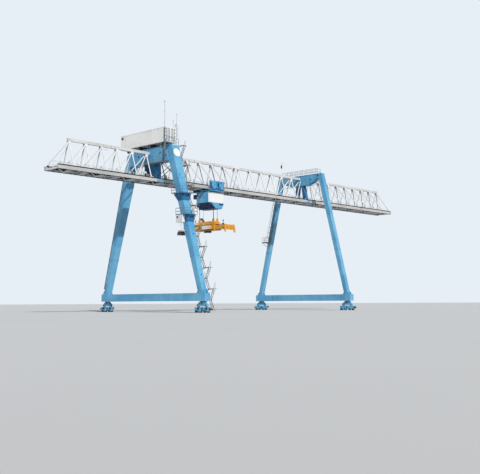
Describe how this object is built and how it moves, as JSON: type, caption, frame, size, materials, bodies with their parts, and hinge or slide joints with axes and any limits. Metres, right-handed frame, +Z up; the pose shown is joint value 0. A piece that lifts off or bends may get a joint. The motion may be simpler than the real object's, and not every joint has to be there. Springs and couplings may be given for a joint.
{
  "type": "rail mounted container gantry crane",
  "caption": "Container gantry crane with a lattice girder on sloping portal legs and an underslung slewing trolley that holds a telescopic spreader, a 1:10 scale model.",
  "frame": {"origin": "ground level below the middle of the girder's length and width", "axes": "+X along the girder towards the longer cantilever, +Y along the crane's rails towards the far legs, +Z up"},
  "size_m": [9.322, 2.928, 3.618],
  "materials": {
    "grey_paint": "satin light grey paint",
    "dark_steel": "worn dark steel",
    "blue_paint": "satin light blue paint",
    "wheel_iron": "rolled bright on the tread",
    "buffer_rubber": "matt",
    "white_paint": "satin off-white paint",
    "zinc_steel": "galvanised steel",
    "rope_steel": "greased wire rope",
    "yellow_paint": "worn orange-yellow paint"
  },
  "bodies": {
    "gantry": {"top_chord": "grey_paint", "bottom_chords": "grey_paint", "side_lattice_near": "grey_paint", "side_lattice_far": "grey_paint", "underside_lattice": "grey_paint", "splice_plates": "grey_paint", "trolley_rails": "dark_steel", "walkway_deck": "grey_paint", "walkway_handrails": "grey_paint", "fixed_crossbeam": "blue_paint", "fixed_leg_near": "blue_paint", "fixed_leg_far": "blue_paint", "hangers": "blue_paint", "sills": "blue_paint", "pendulum_crossbeam": "blue_paint", "pendulum_leg_near": "blue_paint", "pendulum_leg_far": "blue_paint", "equalizer_beams": "blue_paint", "bogie_frames": "blue_paint", "crane_wheels": "wheel_iron", "buffers": "buffer_rubber", "electrical_house": "white_paint", "house_supports": "dark_steel", "platforms": "blue_paint", "platform_handrails": "zinc_steel", "stair_landings": "zinc_steel", "stair_treads": "zinc_steel", "stair_stringers": "zinc_steel", "stair_handrails": "zinc_steel", "leg_cabins": "white_paint", "light_masts": "zinc_steel", "leg_ladder": "zinc_steel"},
    "trolley": {"trolley_side_frames": "blue_paint", "trolley_deck": "blue_paint", "trolley_wheels": "wheel_iron", "slewing_ring_upper": "dark_steel"},
    "slewing_platform": {"slewing_ring_lower": "dark_steel", "machine_house": "blue_paint", "machine_house_keel": "blue_paint", "front_panel": "white_paint", "rear_cabinet": "blue_paint", "hoist_ropes": "rope_steel"},
    "spreader": {"headblock": "yellow_paint", "spreader_frame": "yellow_paint"},
    "arm_near": {"spreader_arms_near": "yellow_paint"},
    "arm_far": {"spreader_arms_far": "yellow_paint"}
  },
  "joints": [
    {"name": "trolley_travel", "type": "slide", "parent": "gantry", "child": "trolley", "axis": [1, 0, 0], "range_m": [-3, 5.5]},
    {"name": "slewing", "type": "hinge", "parent": "trolley", "child": "slewing_platform", "pos_m": [-1.238, 0, 2.21], "axis": [0, 0, 1], "range_deg": [-180, 180]},
    {"name": "hoist", "type": "slide", "parent": "slewing_platform", "child": "spreader", "axis": [0, 0, 1], "range_m": [-1.32, 0.15], "deforming": ["hoist_ropes"]},
    {"name": "arm_near_slide", "type": "slide", "parent": "spreader", "child": "arm_near", "axis": [0, 1, 0], "range_m": [-0.05, 0.2565]},
    {"name": "arm_far_slide", "type": "slide", "parent": "spreader", "child": "arm_far", "axis": [0, -1, 0], "range_m": [-0.05, 0.2565]}
  ],
  "couplings": [
    {"joint": "arm_far_slide", "follows": "arm_near_slide", "ratio": 1}
  ]
}
